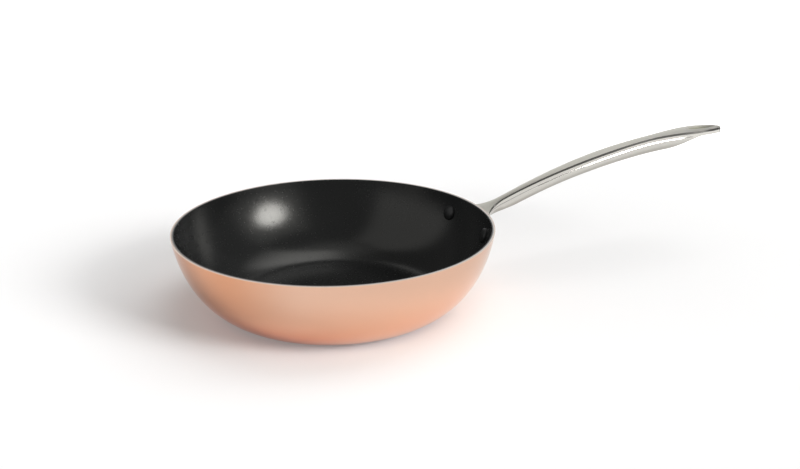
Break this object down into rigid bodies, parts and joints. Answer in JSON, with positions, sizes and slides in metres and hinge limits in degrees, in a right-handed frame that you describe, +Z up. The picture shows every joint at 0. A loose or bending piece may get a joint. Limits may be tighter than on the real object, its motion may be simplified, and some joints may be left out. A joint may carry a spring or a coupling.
{
  "type": "frying pan",
  "caption": "Round deep frying pan with a copper outside, a black non-stick inside and a slim cast steel handle, riveted on, that curves up to an oval hanging eye.",
  "frame": {"origin": "centre of the flat underside of the bowl, on the surface that the pan stands on", "axes": "+X from the centre of the bowl along the handle, +Z up through the mouth of the bowl, the pan symmetric about the XZ plane"},
  "size_m": [0.4719, 0.239, 0.1051],
  "materials": {
    "copper": null,
    "core": "ground edge, hidden between the other two layers",
    "coating": "steel sheet under a satin black non-stick coating",
    "handle_steel": "cast stainless steel, polished, cross-brushed on top",
    "rivet": "steel with a black coated head"
  },
  "bodies": {
    "root": {"copper_skin": "copper", "aluminium_core": "core", "nonstick_liner": "coating", "handle": "handle_steel", "left_rivet": "rivet", "right_rivet": "rivet"}
  },
  "joints": []
}
